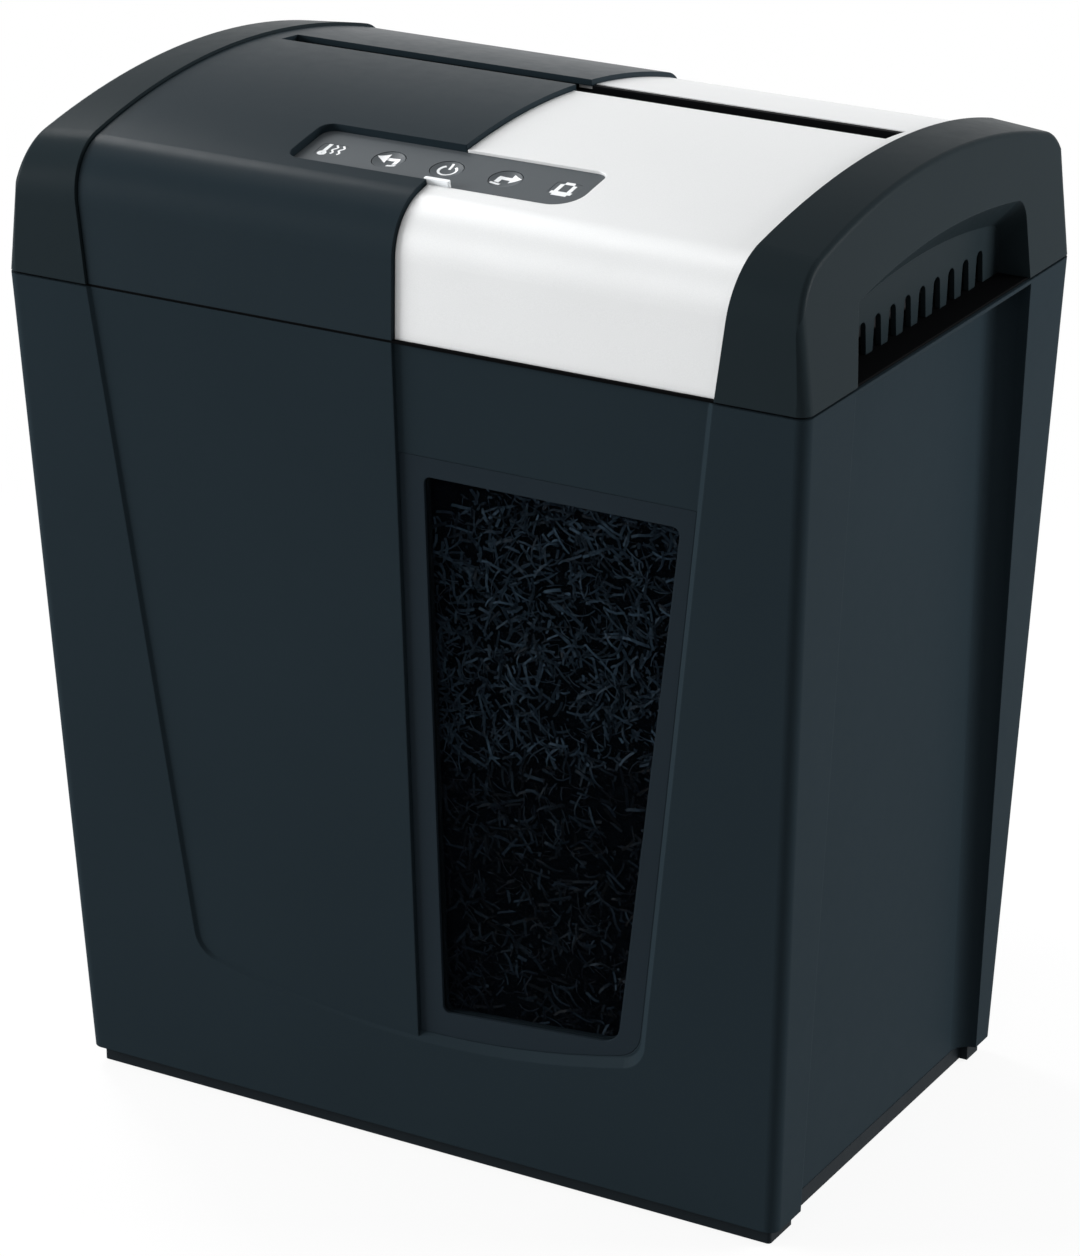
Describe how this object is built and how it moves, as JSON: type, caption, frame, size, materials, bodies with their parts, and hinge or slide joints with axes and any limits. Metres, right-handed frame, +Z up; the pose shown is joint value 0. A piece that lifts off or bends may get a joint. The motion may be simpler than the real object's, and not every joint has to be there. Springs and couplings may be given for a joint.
{
  "type": "paper shredder",
  "caption": "Free-standing paper shredder: tapered waste bin with a dark window full of shreds, under a lift-off shredding head with hand grips, paper slot and push buttons.",
  "frame": {"origin": "middle of the footprint, on the floor under the rubber feet", "axes": "+Z up, +X to the object's right as seen from the front, front faces -Y"},
  "size_m": [0.35, 0.2304, 0.418],
  "materials": {
    "slate_plastic": "fine matt grain, blue-black",
    "cap_plastic": "fine matt grain, blue-black",
    "black_panel_plastic": "satin, blue-black",
    "silver_plastic": "satin silver paint",
    "strip_plastic": "satin grey, printed white marks",
    "lens_plastic": "smoked, see-through",
    "paper_shreds": "loose printed shreds",
    "base_plastic": "matt",
    "pad_rubber": "matt",
    "button_plastic": "satin grey",
    "indicator_plastic": "translucent",
    "light_bar_plastic": "translucent white",
    "throat_plastic": "matt black",
    "tray_plastic": "matt black",
    "inner_plastic": "satin black",
    "circuit_board": "green solder mask",
    "screw_steel": "zinc plated",
    "plate_steel": "zinc plated",
    "cutter_steel": "hardened, oiled",
    "comb_plastic": "natural nylon",
    "gear_steel": "sintered, greased",
    "gear_nylon": "natural acetal, greased",
    "bush_bronze": "sintered",
    "motor_steel": "zinc plated",
    "fan_plastic": "matt black",
    "transformer_wrap": "yellow tape",
    "capacitor_sleeve": "dark sleeve"
  },
  "bodies": {
    "bin": {"bin_shell": "slate_plastic", "base_skirt": "base_plastic", "rubber_feet": "pad_rubber", "window_frame": "slate_plastic", "window_lens": "lens_plastic", "shredded_paper": "paper_shreds"},
    "head": {"black_top_panel": "black_panel_plastic", "block_screws": "screw_steel", "button_switches": "inner_plastic", "control_board": "circuit_board", "control_board_screws": "screw_steel", "control_fascia": "strip_plastic", "cord_gland": "inner_plastic", "cover_screws": "screw_steel", "cutter_bushings": "bush_bronze", "front_stripper_comb": "comb_plastic", "gear_pins": "screw_steel", "gearbox_plate": "plate_steel", "gearbox_spacers": "plate_steel", "head_tray": "tray_plastic", "indicator_lenses": "indicator_plastic", "interlock_switch": "inner_plastic", "left_end_cap": "cap_plastic", "left_side_plate": "plate_steel", "motor_case": "motor_steel", "motor_end_bell": "motor_steel", "motor_screws": "screw_steel", "paper_sensors": "inner_plastic", "paper_throat": "throat_plastic", "power_board": "circuit_board", "power_board_screws": "screw_steel", "rear_stripper_comb": "comb_plastic", "relay": "inner_plastic", "right_end_cap": "cap_plastic", "right_side_plate": "plate_steel", "silver_top_panel": "silver_plastic", "smoothing_capacitor": "capacitor_sleeve", "standby_light_bar": "light_bar_plastic", "thermal_cutout": "inner_plastic", "tie_bars": "plate_steel", "transformer": "transformer_wrap"},
    "reverse_button": {"reverse_button": "button_plastic", "reverse_switch_stem": "inner_plastic"},
    "power_button": {"power_button": "button_plastic", "power_switch_stem": "inner_plastic"},
    "forward_button": {"forward_button": "button_plastic", "forward_switch_stem": "inner_plastic"},
    "front_cutter": {"front_cutter": "cutter_steel", "front_sync_gear": "gear_steel"},
    "rear_cutter": {"rear_cutter": "cutter_steel", "rear_sync_gear": "gear_steel", "drive_gear": "gear_steel"},
    "second_gear": {"second_gear": "gear_steel"},
    "first_gear": {"first_gear": "gear_nylon"},
    "motor_rotor": {"motor_rotor": "cutter_steel", "motor_pinion": "gear_steel", "cooling_fan": "fan_plastic"},
    "interlock_plunger": {"interlock_plunger": "fan_plastic"}
  },
  "joints": [
    {"name": "head_lift", "type": "slide", "parent": "bin", "child": "head", "axis": [0, 0, 1], "range_m": [0, 0.1]},
    {"name": "reverse_button_press", "type": "slide", "parent": "head", "child": "reverse_button", "axis": [0, 0.1939, -0.981], "range_m": [0, 0.0008], "stiffness_N_per_m": 900, "springref_m": -0.0004},
    {"name": "power_button_press", "type": "slide", "parent": "head", "child": "power_button", "axis": [0, 0.1939, -0.981], "range_m": [0, 0.0008], "stiffness_N_per_m": 900, "springref_m": -0.0004},
    {"name": "forward_button_press", "type": "slide", "parent": "head", "child": "forward_button", "axis": [0, 0.1939, -0.981], "range_m": [0, 0.0008], "stiffness_N_per_m": 900, "springref_m": -0.0004},
    {"name": "rear_cutter_spin", "type": "hinge", "parent": "head", "child": "rear_cutter", "pos_m": [0, 0.05, 0.358], "axis": [1, 0, 0], "continuous": true},
    {"name": "front_cutter_spin", "type": "hinge", "parent": "head", "child": "front_cutter", "pos_m": [0, 0.016, 0.358], "axis": [1, 0, 0], "continuous": true},
    {"name": "second_gear_spin", "type": "hinge", "parent": "head", "child": "second_gear", "pos_m": [0, 0.02012, 0.38307], "axis": [1, 0, 0], "continuous": true},
    {"name": "first_gear_spin", "type": "hinge", "parent": "head", "child": "first_gear", "pos_m": [0, -0.00587, 0.37942], "axis": [1, 0, 0], "continuous": true},
    {"name": "motor_spin", "type": "hinge", "parent": "head", "child": "motor_rotor", "pos_m": [0, -0.03184, 0.37805], "axis": [1, 0, 0], "continuous": true},
    {"name": "plunger_slide", "type": "slide", "parent": "head", "child": "interlock_plunger", "axis": [0, 0, -1], "range_m": [0, 0.003]}
  ],
  "couplings": [
    {"joint": "front_cutter_spin", "follows": "rear_cutter_spin", "ratio": -1},
    {"joint": "second_gear_spin", "follows": "rear_cutter_spin", "ratio": -3.3333},
    {"joint": "first_gear_spin", "follows": "rear_cutter_spin", "ratio": 10.667},
    {"joint": "motor_spin", "follows": "rear_cutter_spin", "ratio": -44.8},
    {"joint": "plunger_slide", "follows": "head_lift", "ratio": 0.03}
  ]
}
